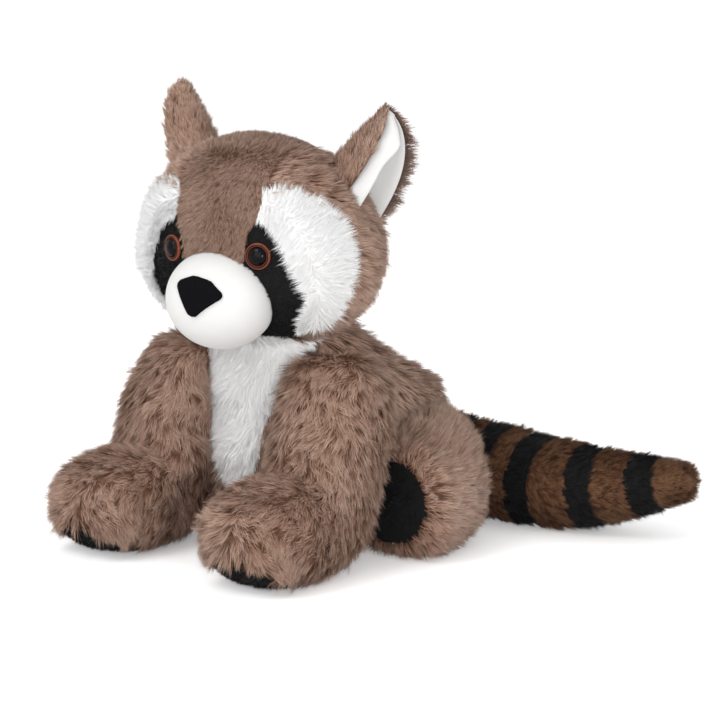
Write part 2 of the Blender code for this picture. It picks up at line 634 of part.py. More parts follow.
def build_arms():
    for side in (LEFT, RIGHT):
        room = cutter(side_name("arm_room", side), arm_form(side, -PLUSH, PLUSH, INNER))
        down = Vector((0, -sin(PAW_PAD_TILT), -cos(PAW_PAD_TILT)))
        centre = mirrored(arm_path(side)[-1], side)
        below = centre + down * 2 * PAW_HALF_HEIGHT
        pad = pad_blocks("paw_pad", side, centre, below, PAW_PAD_RADIUS)
        around = [BODY_CLEAR, HEAD_CLEAR]
        piece(side_name("arm_skin", side), arm_form(side, 0, 0), BROWN, cut=[room, *around, pad[1]])
        piece(side_name("paw_pad", side), arm_form(side, 0, 0), BLACK, cut=[room], keep=[pad[0]])
        piece(side_name("arm_stuffing", side), arm_form(side, -PLUSH - GAP, PLUSH + GAP, INNER),
              FILLING, cut=around)


def build_legs():
    for side in (LEFT, RIGHT):
        room = cutter(side_name("leg_room", side), leg_form(side, -PLUSH, PLUSH, INNER))
        arm = cutter(side_name("arm_clear", side), arm_form(side, GAP, -GAP))
        centre = mirrored(FOOT, side)
        ahead = centre + Vector((0, -4 * SOLE_REACH, 0))
        pad = pad_blocks("foot_pad", side, centre, ahead, FOOT_PAD_RADIUS)
        around = [BODY_CLEAR, arm]
        skin = [room, *around]
        piece(side_name("leg_skin", side), leg_form(side, 0, 0), BROWN, cut=[*skin, pad[1]])
        piece(side_name("foot_pad", side), leg_form(side, 0, 0), BLACK, cut=skin, keep=[pad[0]])
        piece(side_name("leg_stuffing", side), leg_form(side, -PLUSH - GAP, PLUSH + GAP, INNER),
              FILLING, cut=around)


def build_tail():
    """Bands sewn end to end over one stuffed core; the last one closes the tip."""
    samples = np.linspace(0, 1, 200)
    spots = smooth_path([TAIL_ROOT, TAIL_BEND, TAIL_MIDDLE, TAIL_TIP], samples)
    lengths = np.cumsum([0.0] + [(b - a).length for a, b in zip(spots, spots[1:])])
    length = lengths[-1]

    def place(distance):
        return np.interp(distance, lengths, samples)

    leg = cutter("leg_clear", leg_form(LEFT, GAP, -GAP))
    around = [BODY_CLEAR, leg]
    start = 0.0
    for k, share in enumerate(BAND_SHARES):
        width = share * length / sum(BAND_SHARES)
        places = place(np.linspace(start + GAP / 2, start + width - GAP / 2, 3))
        outer, inner = tail_rings(places, 0.0), tail_rings(places, PLUSH)
        if k == len(BAND_SHARES) - 1:
            inner = tail_rings([*places[:2], place(length - PLUSH)], PLUSH)
            bm = loft([*inner[::-1], *outer])
        else:
            bm = loft([*outer, *inner[::-1]], "each other")
        near_body = start < NEAR_BODY * length
        piece(f"tail_band_{k + 1:02d}", bm, BLACK if k % 2 else TAIL_BROWN,
              cut=around if near_body else [])
        start += width
    core = tail_rings(place(np.linspace(0, length - PLUSH - GAP, 14)), PLUSH + GAP)
    piece("tail_stuffing", loft(core), FILLING, cut=around)


def stand_at_origin():
    """Moves everything so that the toy's box has the origin at the middle of its underside."""
    bpy.context.view_layer.update()
    graph = bpy.context.evaluated_depsgraph_get()
    corners = []
    for item in TOY.objects:
        solid = item.evaluated_get(graph).to_mesh()
        corners += [item.matrix_world @ v.co for v in solid.vertices]
        item.evaluated_get(graph).to_mesh_clear()
    corners = np.array(corners)
    low, high = corners.min(axis=0), corners.max(axis=0)
    shift = -Vector(((low[0] + high[0]) / 2, (low[1] + high[1]) / 2, low[2]))
    for item in [*TOY.objects, *CUTTERS.objects]:
        item.location += shift
    bpy.context.view_layer.update()
    return shift


build_head()
build_nose()
build_eyes()
build_ears()
turn_head()
build_body()
build_arms()
build_legs()
build_tail()
SHIFT = stand_at_origin()
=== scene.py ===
"""Plush raccoon: its pile, cloth, felt and eyes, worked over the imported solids.

Shapes are worked out in millimetres in the toy's own frame, with the body's middle near the
origin and the face towards -Y, and are moved to the row's frame as each mesh is made.
"""

import bpy
import numpy as np
from mathutils import Matrix


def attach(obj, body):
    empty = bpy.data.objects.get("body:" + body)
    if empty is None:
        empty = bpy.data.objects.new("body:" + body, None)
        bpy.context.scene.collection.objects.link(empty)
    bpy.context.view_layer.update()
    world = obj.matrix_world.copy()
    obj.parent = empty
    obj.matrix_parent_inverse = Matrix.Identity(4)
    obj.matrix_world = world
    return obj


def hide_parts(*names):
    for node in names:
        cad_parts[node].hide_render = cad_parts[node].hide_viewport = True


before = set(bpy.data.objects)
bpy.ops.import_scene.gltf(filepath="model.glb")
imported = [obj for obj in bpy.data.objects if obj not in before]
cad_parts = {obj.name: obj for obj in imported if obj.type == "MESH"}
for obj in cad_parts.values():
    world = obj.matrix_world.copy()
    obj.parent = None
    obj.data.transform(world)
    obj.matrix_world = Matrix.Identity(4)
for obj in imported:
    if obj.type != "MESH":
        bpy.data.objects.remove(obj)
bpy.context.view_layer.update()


# Table and daylight. The toy sits on a plain white table top in even daylight, with a wide lamp
# high before it like a window, a wider one low before it and a small one low at its left.
world = bpy.data.worlds.new("daylight")
world.use_nodes = True
bpy.context.scene.world = world
sky = world.node_tree.nodes["Background"]
paper = world.node_tree.nodes.new("ShaderNodeBackground")
seen = world.node_tree.nodes.new("ShaderNodeLightPath")
choice = world.node_tree.nodes.new("ShaderNodeMixShader")
sky.inputs["Color"].default_value = (1.0, 1.0, 1.0, 1.0)
sky.inputs["Strength"].default_value = 0.85
paper.inputs["Color"].default_value = (1.0, 1.0, 1.0, 1.0)
paper.inputs["Strength"].default_value = 1.0
bare = seen.outputs["Is Camera Ray"]
for ray in ("Is Glossy Ray", "Is Transmission Ray"):
    either = world.node_tree.nodes.new("ShaderNodeMath")
    either.operation = "MAXIMUM"
    world.node_tree.links.new(bare, either.inputs[0])
    world.node_tree.links.new(seen.outputs[ray], either.inputs[1])
    bare = either.outputs[0]
world.node_tree.links.new(bare, choice.inputs[0])
world.node_tree.links.new(sky.outputs[0], choice.inputs[1])
world.node_tree.links.new(paper.outputs[0], choice.inputs[2])
world.node_tree.links.new(choice.outputs[0], world.node_tree.nodes["World Output"].inputs[0])


def lamp(name, place, size, power):
    """A square soft light at a place in metres, turned to face the toy's middle."""
    data = bpy.data.lights.new(name, "AREA")
    data.size = size
    data.energy = power
    light = bpy.data.objects.new(name, data)
    toward = np.array((0.0, 0.0, 0.1)) - place
    toward /= np.linalg.norm(toward)
    side = np.cross(toward, (0.0, 0.0, 1.0))
    side /= np.linalg.norm(side)
    turn = Matrix(np.array((side, np.cross(side, toward), -toward)).T.tolist())
    light.matrix_world = Matrix.Translation(place) @ turn.to_4x4()
    bpy.context.scene.collection.objects.link(light)


lamp("window_light", np.array((-0.2, -1.3, 1.5)), 0.9, 11.0)
lamp("front_light", np.array((0.35, -1.5, 0.32)), 1.4, 9.5)
lamp("side_light", np.array((0.80, -0.58, 0.17)), 0.1, 3.0)

floor_mesh = bpy.data.meshes.new("table_top")
floor_mesh.from_pydata([(-6, -6, 0), (6, -6, 0), (6, 6, 0), (-6, 6, 0)], [], [(0, 1, 2, 3)])
floor = bpy.data.objects.new("table_top", floor_mesh)
bpy.context.scene.collection.objects.link(floor)
white_top = bpy.data.materials.new("white_top")
white_top.use_nodes = True
floor_mesh.materials.append(white_top)
tree = white_top.node_tree
matt = tree.nodes.new("ShaderNodeBsdfDiffuse")
matt.inputs["Color"].default_value = (0.93, 0.93, 0.93, 1.0)
glow = tree.nodes.new("ShaderNodeEmission")
seen = tree.nodes.new("ShaderNodeLightPath")
lift = tree.nodes.new("ShaderNodeMath")
lift.operation = "MULTIPLY"
lift.inputs[1].default_value = 0.30
both = tree.nodes.new("ShaderNodeAddShader")
tree.links.new(seen.outputs["Is Camera Ray"], lift.inputs[0])
tree.links.new(lift.outputs[0], glow.inputs["Strength"])
tree.links.new(matt.outputs[0], both.inputs[0])
tree.links.new(glow.outputs[0], both.inputs[1])
tree.links.new(both.outputs[0], tree.nodes["Material Output"].inputs["Surface"])

bpy.context.scene.view_settings.view_transform = "Standard"
bpy.context.scene.cycles.diffuse_bounces = 10


# Camera. It looks at the toy's front left from a little above, through a long lens.
camera_data = bpy.data.cameras.new("camera")
camera_data.lens = 140.44
camera_data.sensor_width = 36.0
camera_data.clip_end = 20.0
camera = bpy.data.objects.new("camera", camera_data)
azimuth, drop = np.radians(40.0), np.radians(10.0)
back = np.array((np.sin(azimuth) * np.cos(drop), -np.cos(azimuth) * np.cos(drop), np.sin(drop)))
right = np.array((np.cos(azimuth), np.sin(azimuth), 0.0))
turn = Matrix(np.array((right, np.cross(back, right), back)).T.tolist())
camera.matrix_world = Matrix.Translation((0.8339, -0.9991, 0.3227)) @ turn.to_4x4()
bpy.context.scene.collection.objects.link(camera)
bpy.context.scene.camera = camera


# Body. An egg of fibre filling in brown long-pile plush, sewn up its back, that leans forward
# on its front legs. The pile is brushed down towards the seat.
TO_ROW = np.array((-34.71, 16.05, 0.0))
LEFT, RIGHT = 1, -1
SIDES = {LEFT: "left", RIGHT: "right"}
BODY_HEIGHT = 118.0
BODY_HALF_WIDTH, BODY_HALF_DEPTH = 53.0, 67.0
SEAT_MIDDLE, NECK_LEAN = 4.0, 46.0
BODY_RINGS = [(0.0, 0.68, 0.66, 0.0), (0.07, 0.88, 0.88, 0.0), (0.21, 1.0, 1.0, 0.0),
              (0.42, 0.98, 1.0, 0.0), (0.60, 0.94, 0.88, 0.14), (0.74, 0.86, 0.62, 0.50),
              (0.88, 0.73, 0.42, 0.80), (1.0, 0.50, 0.27, 1.0)]


def unit(rows):
    """Each row divided by its own length."""
    return rows / np.maximum(np.linalg.norm(rows, axis=-1, keepdims=True), 1e-9)


def flat_on(rows, normal):
    """The part of each row that lies in the plane square to its normal, as a unit vector."""
    return unit(rows - normal * (rows * normal).sum(-1, keepdims=True))


def body_form(u, v):
    """Egg from its neck at u = 0 to its seat at u = 1: rings whose half width, half depth and
    middle are read along its height. The last tenth of u closes the flat seat."""
    share = np.clip(1 - u / 0.9, 0, 1)
    marks, wide, deep, lean = np.array(BODY_RINGS).T
    shrink = np.sqrt(np.clip((1 - u) / 0.1, 0, 1)) * np.sqrt(np.clip(u / 0.05, 0, 1))
    w = BODY_HALF_WIDTH * np.interp(share, marks, wide) * shrink
    d = BODY_HALF_DEPTH * np.interp(share, marks, deep) * shrink
    middle = SEAT_MIDDLE - NECK_LEAN * np.interp(share, marks, lean)
    angle = 2 * np.pi * v
    return np.stack([w * np.cos(angle), middle + d * np.sin(angle), BODY_HEIGHT * share], -1)


def in_body(p, grow=0.0):
    """Whether points lie within the body's rings, each grown by some millimetres."""
    share = p[:, 2] / BODY_HEIGHT
    marks, wide, deep, lean = np.array(BODY_RINGS).T
    w = BODY_HALF_WIDTH * np.interp(share, marks, wide) + grow
    d = BODY_HALF_DEPTH * np.interp(share, marks, deep) + grow
    y = p[:, 1] - SEAT_MIDDLE + NECK_LEAN * np.interp(share, marks, lean)
    return ((p[:, 0] / w) ** 2 + (y / d) ** 2 < 1) & (share < 1)


HEAD = np.array((0.0, -52.0, 150.0))
HEAD_HALF_WIDTH, HEAD_HALF_HEIGHT = 63.0, 49.0
FACE_DEPTH, NAPE_DEPTH = 34.0, 47.0
JOWLS = 0.14


def in_head(p, grow=0.0):
    """Whether points lie within the head's ball, which is wider at the jowls."""
    q = p - HEAD
    z = q[:, 2] / (HEAD_HALF_HEIGHT + grow)
    x = q[:, 0] / ((HEAD_HALF_WIDTH + grow) * (1 - JOWLS * np.clip(z, -1, 1)))
    y = q[:, 1] / np.where(q[:, 1] < 0, FACE_DEPTH + grow, NAPE_DEPTH + grow)
    return x * x + y * y + z * z < 1


MUZZLE = np.array((0.0, -79.5, 124.5))
MUZZLE_HALF = np.array((27.5, 23.0, 23.5))


def in_muzzle(p, grow=0.0):
    """Whether points lie within the muzzle's ball."""
    q = (p - MUZZLE) / (MUZZLE_HALF + grow)
    return (q * q).sum(-1) < 1


def surface(form, u, v):
    """Points of a form, its outward normals and its slopes in u and v, by small differences.

    The normal is the cross product of the two slopes.
    """
    step = 0.002
    low, high = np.clip(u - step, 0, 1), np.clip(u + step, 0, 1)
    along = (form(high, v) - form(low, v)) / (high - low)[..., None]
    around = (form(u, v + step) - form(u, v - step)) / (2 * step)
    return form(u, v), unit(np.cross(along, around)), along, around


def drift(p, size, seed):
    """A slow random field at each point, three numbers from -1 to 1: the mean of six sine waves
    about `size` millimetres long in random directions."""
    rng = np.random.default_rng(seed)
    waves = unit(rng.normal(size=(6, 3, 3))) * (2 * np.pi / size)
    phases = rng.uniform(0, 2 * np.pi, (6, 3))
    return np.sin(np.einsum("nk,wck->nwc", p, waves) + phases).mean(axis=1) * 1.6


def scatter(form, count, within, rng):
    """About `count` places (u, v) spread evenly over the part of a form where `within` holds.

    Candidates follow the golden-ratio sequence of two numbers, and each is kept with a chance
    in step with the area around it, the length of the cross product of the slopes.
    """
    k = np.arange(count * 14)
    u = (rng.random() + k * 0.7548776662466927) % 1
    v = (rng.random() + k * 0.5698402909980532) % 1
    p, _, along, around = surface(form, u, v)
    area = np.linalg.norm(np.cross(along, around), axis=-1) * within(p)
    kept = rng.random(len(k)) < area / area.sum() * count
    return u[kept], v[kept]


TONE_STEP = 0.012


def grow_pile(form, within, comb, clumps, hairs, length, width, lean, spread, gather, wander,
              seed, closed=True):
    """Hairs over a form, in clumps whose tips draw together: points, normals, UV and faces.

    A hair leaves its root at the first lean from the skin's normal and ends at the second, both
    towards the comb's direction, so its line is the sum of the two directions weighted by
    t - t * t / 2 and t * t / 2. Its tip is then drawn to its clump's tip by `gather`. Each hair
    is a thin flat wedge with two faces, so that it shows an outward face from either side.
    """
    rng = np.random.default_rng(seed)
    u, v = scatter(form, clumps, within, rng)
    foot, up, along, around = surface(form, u, v)
    lay = flat_on(comb(foot), up)
    swing = wander * (drift(foot, 26.0, seed)[:, 0] + 0.45 * rng.normal(size=len(u)))[:, None]
    lay = flat_on(lay * np.cos(swing) + np.cross(up, lay) * np.sin(swing), up)
    long = length(foot) * (1 + 0.18 * rng.normal(size=len(u)).clip(-2, 2))
    leans = np.radians(lean) + 0.16 * rng.normal(size=(len(u), 1))
    tones = 0.5 + 0.22 * drift(foot, 34.0, seed + 1)[:, 0] + 0.12 * rng.normal(size=len(u))

    owner = np.repeat(np.arange(len(u)), hairs)
    n = len(owner)
    far = spread * np.sqrt(rng.random(n))
    turn = 2 * np.pi * rng.random(n)
    across = np.cross(up, lay)
    aside = lay[owner] * (far * np.cos(turn))[:, None] + across[owner] * (far * np.sin(turn))[:, None]
    e, f, g = (along * along).sum(-1), (along * around).sum(-1), (around * around).sum(-1)
    det = np.maximum(e * g - f * f, 1e-3 * e * g + 1e-6)[owner]
    a, b = (aside * along[owner]).sum(-1), (aside * around[owner]).sum(-1)
    hu = np.clip(u[owner] + (g[owner] * a - f[owner] * b) / det, 0.001, 0.999)
    hv = v[owner] + np.clip((e[owner] * b - f[owner] * a) / det, -0.25, 0.25)
    if not closed:
        hv = np.clip(hv, 0.004, 0.996)
    root, skin, _, _ = surface(form, hu, hv)
    kept = within(root)
    owner, root, skin, aside = owner[kept], root[kept], skin[kept], aside[kept]
    n = len(owner)

    def line(start, normal, way, reach, tilt, t):
        """The hairs' points at t, which runs from 0 at the root to 1 at the tip."""
        early = normal * np.cos(tilt[:, :1]) + way * np.sin(tilt[:, :1])
        late = normal * np.cos(tilt[:, 1:]) + way * np.sin(tilt[:, 1:])
        return start + reach[:, None] * (early * (t - t * t / 2) + late * (t * t / 2))

    way = flat_on(lay[owner] + 0.2 * rng.normal(size=(n, 3)), skin)
    tilt = leans[owner] + 0.1 * rng.normal(size=(n, 1))
    reach = long[owner] * rng.uniform(0.72, 1.12, n)
    goal = line(foot, up, lay, long, leans, 1.0)[owner]
    pull = (goal - line(root, skin, way, reach, tilt, 1.0)) * (gather * rng.uniform(0.5, 1.2, (n, 1)))
    roll = 0.55 * rng.normal(size=(n, 1)).clip(-1.6, 1.6)
    edge = np.cross(way, skin) * np.cos(roll) + skin * np.sin(roll)
    half = edge * (width * rng.uniform(0.35, 0.65, (n, 1)))
    round_lock = unit(skin + 0.55 * aside / spread + 0.25 * way)
    tone = np.clip(tones[owner] + 0.1 * rng.normal(size=n), 0.03, 0.97)

    tip = line(root, skin, way, reach, tilt, 1.0) + pull
    low = root - 0.5 * skin
    thick = 0.04 * unit(np.cross(edge, tip - low))
    points = np.stack([low - half + thick, low + half + thick, tip, low + half - thick,
                       low - half - thick, tip], axis=1).reshape(-1, 3)
    points[:, 2] = np.maximum(points[:, 2], 0.3 + 0.05 * rng.random(len(points)))
    underside = unit(way + 0.35 * skin)
    normals = np.repeat(np.stack([round_lock, underside], axis=1), 3, axis=1).reshape(-1, 3)
    aside_tone = TONE_STEP * np.array((-1.0, 1.0, 0.0, 1.0, -1.0, 0.0))
    # The second UV number runs from 0 at the root to 1 at the tip; near 0 the finish's ramp gives the
    # darkened root colour, partly painted shade.
    along = np.array((0.0, 0.0, 1.0, 0.0, 0.0, 1.0))
    uv = np.stack([tone[:, None] + aside_tone, along + 0 * tone[:, None]], -1)
    first = np.arange(n)[:, None] * 6
    faces = np.concatenate([first + np.array((0, 1, 2)), first + np.array((3, 4, 5))])
    return points, normals, uv.reshape(-1, 2), faces


def skin_under(form, within, columns, rows, sink, under):
    """The backing cloth below the pile: the form's own grid, drawn in by `sink` millimetres.

    It runs on below its neighbours as long as the spot `under` millimetres out along the normal
    is still clear of them, so that no gap opens where pieces are sewn.
    """
    u, v = np.meshgrid(np.linspace(0, 1, rows + 1), np.linspace(0, 1, columns + 1), indexing="ij")
    p, normal, _, _ = surface(form, np.clip(u.ravel(), 0.0005, 0.9995), v.ravel())
    middle_u, middle_v = (u[:-1, :-1] + u[1:, 1:]) / 2, (v[:-1, :-1] + v[1:, 1:]) / 2
    centre, facing, _, _ = surface(form, middle_u.ravel(), middle_v.ravel())
    kept = np.flatnonzero(within(centre) | within(centre + under * facing))
    i, j = kept // columns, kept % columns
    corner = i * (columns + 1) + j
    quads = np.stack([corner, corner + columns + 1, corner + columns + 2, corner + 1], -1)
    points, normals = p[quads].reshape(-1, 3) - sink * normal[quads].reshape(-1, 3), normal[quads]
    tone = np.clip(0.5 + 0.22 * drift(centre[kept], 34.0, 2)[:, 0], 0.05, 0.95)[:, None]
    # The cloth's UV sits at the root end of the pile's ramp, so it takes the darkened root colour: partly
    # the pile's own colour, partly painted shade under the pile.
    uv = np.stack([tone + TONE_STEP * np.array((-1.0, -1.0, 1.0, 1.0)),
                   np.array((0.0, 0.06, 0.06, 0.0)) + 0 * tone], -1)
    return points, normals.reshape(-1, 3), uv.reshape(-1, 2), np.arange(len(points)).reshape(-1, 4)


HEAD_TURN = np.radians(4.5)
TURN = np.array(((np.cos(HEAD_TURN), np.sin(HEAD_TURN), 0),
                 (-np.sin(HEAD_TURN), np.cos(HEAD_TURN), 0), (0, 0, 1)))


def on_head(p):
    """Points of the head as they lie once it is turned to the toy's left about its middle."""
    return HEAD + (p - HEAD) @ TURN


def put_mesh(name, points, normals, uv, quads, triangles, finish, turned=False):
    """A piece from arrays, in millimetres in the toy's frame, with its UV twice: once for its
    material and once for the bake."""
    if turned:
        points, normals = on_head(points), normals @ TURN
    mesh = bpy.data.meshes.new(name)
    place = ((points + TO_ROW) * 0.001).astype(np.float32)
    corners = np.concatenate([quads.ravel(), triangles.ravel()]).astype(np.int32)
    starts = np.concatenate([np.arange(len(quads)) * 4, len(quads) * 4 + np.arange(len(triangles)) * 3])
    mesh.vertices.add(len(place))
    mesh.vertices.foreach_set("co", place.ravel())
    mesh.loops.add(len(corners))
    mesh.loops.foreach_set("vertex_index", corners)
    mesh.polygons.add(len(starts))
    mesh.polygons.foreach_set("loop_start", starts.astype(np.int32))
    mesh.update(calc_edges=True)
    for layer in ("pile", "OFBake"):
        made = mesh.uv_layers.new(name=layer)
        made.uv.foreach_set("vector", uv[corners].astype(np.float32).ravel())
    mesh.uv_layers["pile"].active_render = True
    mesh.polygons.foreach_set("use_smooth", np.ones(len(starts), bool))
    mesh.normals_split_custom_set_from_vertices(normals.tolist())
    mesh.materials.append(finish)
    piece = bpy.data.objects.new(name, mesh)
    bpy.context.scene.collection.objects.link(piece)
    return piece


def plush(node, slot, finish, form, within, comb, grid=(96, 64), sink=0.6, under=0.0, fill=0.7,
          turned=False, **pile):
    """A panel of plush: its backing cloth and its pile in one piece, set in place of its solid."""
    points, normals, uv, hairs = grow_pile(form, within, comb, **pile)
    cloth, cloth_normals, cloth_uv, quads = skin_under(form, within, *grid, sink, under)
    merged = put_mesh(node + "_pile", np.concatenate([points, cloth]),
                      np.concatenate([normals, cloth_normals]), np.concatenate([uv, cloth_uv]),
                      quads + len(points), hairs, finish, turned)
    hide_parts(node)
    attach(merged, "root")


class Finish:
    """A material with its Principled shader, and one way to add any other node to it."""

    def __init__(self, name, roughness, sheen=0.0, specular=0.3):
        self.material = bpy.data.materials.new(name)
        self.material.use_nodes = True
        self.tree = self.material.node_tree
        self.shader = self.tree.nodes["Principled BSDF"]
        self.shader.inputs["Roughness"].default_value = roughness
        self.shader.inputs["Specular IOR Level"].default_value = specular
        self.shader.inputs["Sheen Weight"].default_value = sheen
        self.shader.inputs["Sheen Roughness"].default_value = 0.5

    def node(self, kind, settings, sockets, output=0):
        """Adds a node: its settings first, then the values or links of its sockets."""
        made = self.tree.nodes.new(kind)
        for key, value in settings.items():
            if key == "stops":
                ramp = made.color_ramp
                while len(ramp.elements) < len(value):
                    ramp.elements.new(0.5)
                for element, (place, colour) in zip(ramp.elements, value):
                    element.position = place
                    element.color = (*colour, 1.0)
            else:
                setattr(made, key, value)
        for key, value in sockets.items():
            if isinstance(value, bpy.types.NodeSocket):
                self.tree.links.new(value, made.inputs[key])
            elif isinstance(value, tuple):
                made.inputs[key].default_value = (*value, 1.0)
            else:
                made.inputs[key].default_value = value
        return made.outputs[output]

    def mix(self, factor, first, second):
        """A colour between two, by a Mix node: its sockets 6 and 7 hold the colours."""
        return self.node("ShaderNodeMix", {"data_type": "RGBA"}, {0: factor, 6: first, 7: second}, 2)

    def set(self, socket, value):
        """Links an output to one of the shader's sockets."""
        self.tree.links.new(value, self.shader.inputs[socket])


def pile_finish(name, dark, light, sheen=0.15):
    """Pile whose colour runs from root to tip, between a darker and a lighter strand. The darker roots are
    partly the pile's own colour and partly painted shade deep in the pile.

    `dark` and `light` each hold the colours at the root, halfway and at the tip.
    """
    made = Finish(name, 0.85, sheen, 0.2)
    uv = made.node("ShaderNodeUVMap", {"uv_map": "pile"}, {})
    tone = made.node("ShaderNodeSeparateXYZ", {}, {"Vector": uv}, 0)
    along = made.node("ShaderNodeSeparateXYZ", {}, {"Vector": uv}, 1)
    stops = [0.0, 0.45, 1.0]
    # Each ramp darkens towards the root: partly the pile's own colour, partly painted shade between the
    # locks.
    low = made.node("ShaderNodeValToRGB", {"stops": list(zip(stops, dark))}, {"Fac": along})
    high = made.node("ShaderNodeValToRGB", {"stops": list(zip(stops, light))}, {"Fac": along})
    made.set("Base Color", made.mix(tone, low, high))
    return made.material


# Root colours darker than the tips: partly the pile's own colour, partly painted shade deep in the pile.
brown_pile = pile_finish("brown_pile",
                         [(0.07, 0.028, 0.016), (0.24, 0.128, 0.084), (0.44, 0.275, 0.20)],
                         [(0.13, 0.062, 0.038), (0.40, 0.245, 0.178), (0.70, 0.53, 0.435)], 0.05)


def on_body(p):
    """The body outside the bib, the head and the limbs."""
    return ~in_head(p, -1) & (p[:, 2] > 0.3) & ~on_bib(p) & ~in_arms(p, -3) & ~in_legs(p, -3)


def on_bib(p):
    """The bib's outline on the body's front: wide at the neck, narrowing to a rounded foot, and
    narrower on the toy's left, where the brown pile is brushed over it."""
    low = -np.interp(p[:, 2], (32, 36, 46, 94, 130), (6, 14.7, 21, 33, 33))
    high = np.interp(p[:, 2], (32, 36, 46, 70, 94, 106), (2, 4, 8, 13, 24, 33))
    return (p[:, 0] > low) & (p[:, 0] < high) & (p[:, 2] > 32) & (p[:, 1] < -44) & ~in_head(p, -1)


def body_comb(p):
    """Down towards the seat, back and a little outward."""
    even = 0 * p[:, 0]
    return np.stack([0.25 * np.sign(p[:, 0]), 0.55 + even, -1.0 + even], -1)


# Front legs. Each is one tube of the same plush, bent at the elbow and wrist, closed by a black
# pad under its paw. The pile is long here and lies in locks down the leg and over the toes.
def spline(rows, t):
    """Catmull-Rom curve through each row in turn, evenly spaced in t from 0 to 1."""
    rows = np.asarray(rows, float)
    ends = np.vstack([2 * rows[:1] - rows[1:2], rows, 2 * rows[-1:] - rows[-2:-1]])
    place = np.clip(t, 0, 1) * (len(rows) - 1)
    k = np.minimum(place.astype(int), len(rows) - 2)
    s = (place - k)[..., None]
    a, b, c, d = (ends[k + i] for i in range(4))
    return (2 * b + (c - a) * s + (2 * a - 5 * b + 4 * c - d) * s ** 2
            + (3 * b - a - 3 * c + d) * s ** 3) / 2


def limb(path, radii, power):
    """A tube as a form: along a curve with half width and half height read along it, round it a
    rounded square of the given power, and nothing lower than the table."""
    marks, wide, high = np.array(radii).T

    def form(u, v):
        centre = spline(path, u)
        ahead = unit(spline(path, np.minimum(u + 0.03, 1)) - spline(path, np.maximum(u - 0.03, 0)))
        side = unit(np.cross(ahead, (0.0, 0.0, 1.0)))
        up = np.cross(side, ahead)
        c, s = np.cos(2 * np.pi * v), np.sin(2 * np.pi * v)
        w = np.interp(u, marks, wide) * abs(c) ** (2 / power) * np.sign(c)
        h = np.interp(u, marks, high) * abs(s) ** (2 / power) * np.sign(s)
        p = centre + side * w[..., None] + up * h[..., None]
        p[..., 2] = np.maximum(p[..., 2], 0.4 + 0.02 * p[..., 2])
        return p

    return form


def near_path(path, radii, p, grow):
    """Whether points lie within a limb grown by some millimetres: in the slice, 7 millimetres
    thick, of one of 40 spots on its curve, and nearer to that spot than the limb's radius."""
    t = np.linspace(0, 1, 40)
    spots = spline(path, t)
    ahead = unit(spline(path, np.minimum(t + 0.03, 1)) - spline(path, np.maximum(t - 0.03, 0)))
    marks, wide, high = np.array(radii).T
    reach = np.sqrt(np.interp(t, marks, wide) * np.interp(t, marks, high)) + grow
    aside = p[:, None] - spots
    slices = abs((aside * ahead).sum(-1)) < 3.5
    return ((np.linalg.norm(aside, axis=-1) < reach) & slices).any(axis=1)


ARM_RADII = [(0.0, 0, 0), (0.012, 15.0, 14.5), (0.05, 21.5, 20.5), (0.09, 24.0, 22.8),
             (0.18, 25.3, 25.0), (0.3, 25, 25), (0.5, 25, 25), (0.75, 28, 24), (0.88, 26, 20.2),
             (0.96, 19, 14), (0.99, 10.5, 7.5), (1.0, 0, 0)]
ARM_PATHS = {LEFT: [(40, -36, 94), (46, -52, 60), (50, -70, 30), (51, -99, 23), (51, -129, 25.4)],
             RIGHT: [(-47, -36, 94), (-50.9, -52, 60), (-50, -68, 30), (-51, -95, 23), (-51, -125, 25.4)]}
LEG_RADII = [(0.0, 0, 0), (0.012, 25, 25), (0.05, 29.5, 29.5), (0.08, 31, 31), (0.4, 30.9, 30.9),
             (0.7, 27, 27), (0.9, 25.6, 25.6), (0.97, 22, 22), (0.985, 19.4, 19.4), (1.0, 0, 0)]
LEG_PATHS = {side: [(32 * side, 22, 34), (52 * side, 4, 30), (61 * side, -13, 27), (62.9 * side, -28, 27)]
             for side in SIDES}
ARMS = {side: limb(ARM_PATHS[side], ARM_RADII, 2.5) for side in SIDES}
LEGS = {side: limb(LEG_PATHS[side], LEG_RADII, 2.4) for side in SIDES}
OFF_TABLE = 0.8
PAD_RADIUS = 21
PAD_FACES = np.array((0.0, -np.sin(np.radians(33)), -np.cos(np.radians(33))))


def in_arms(p, grow):
    """Whether points lie within either arm, grown by some millimetres."""
    return (near_path(ARM_PATHS[LEFT], ARM_RADII, p, grow)
            | near_path(ARM_PATHS[RIGHT], ARM_RADII, p, grow))


def in_legs(p, grow):
    """Whether points lie within either hind leg, grown by some millimetres."""
    return (near_path(LEG_PATHS[LEFT], LEG_RADII, p, grow)
            | near_path(LEG_PATHS[RIGHT], LEG_RADII, p, grow))


def in_paw_pad(p, side):
    """Whether points lie in the half cylinder that cuts the round pad out of a paw's underside."""
    q = p - np.array(ARM_PATHS[side][3], float)
    depth = q @ PAD_FACES
    return (np.linalg.norm(q - depth[:, None] * PAD_FACES, axis=-1) < PAD_RADIUS) & (depth > 0)


def hair_length(usual):
    """A length for hairs that drifts from place to place by some 12 parts in 100."""
    return lambda p: usual * (1 + 0.12 * drift(p, 30.0, 9)[:, 0])


plush("body_skin", "brown_plush", brown_pile, body_form, on_body, body_comb,
      clumps=3900, hairs=12, length=hair_length(9.0), width=0.6, lean=(52, 84), spread=2.2,
      gather=0.5, wander=0.4, seed=11, sink=0.9, under=7.0)

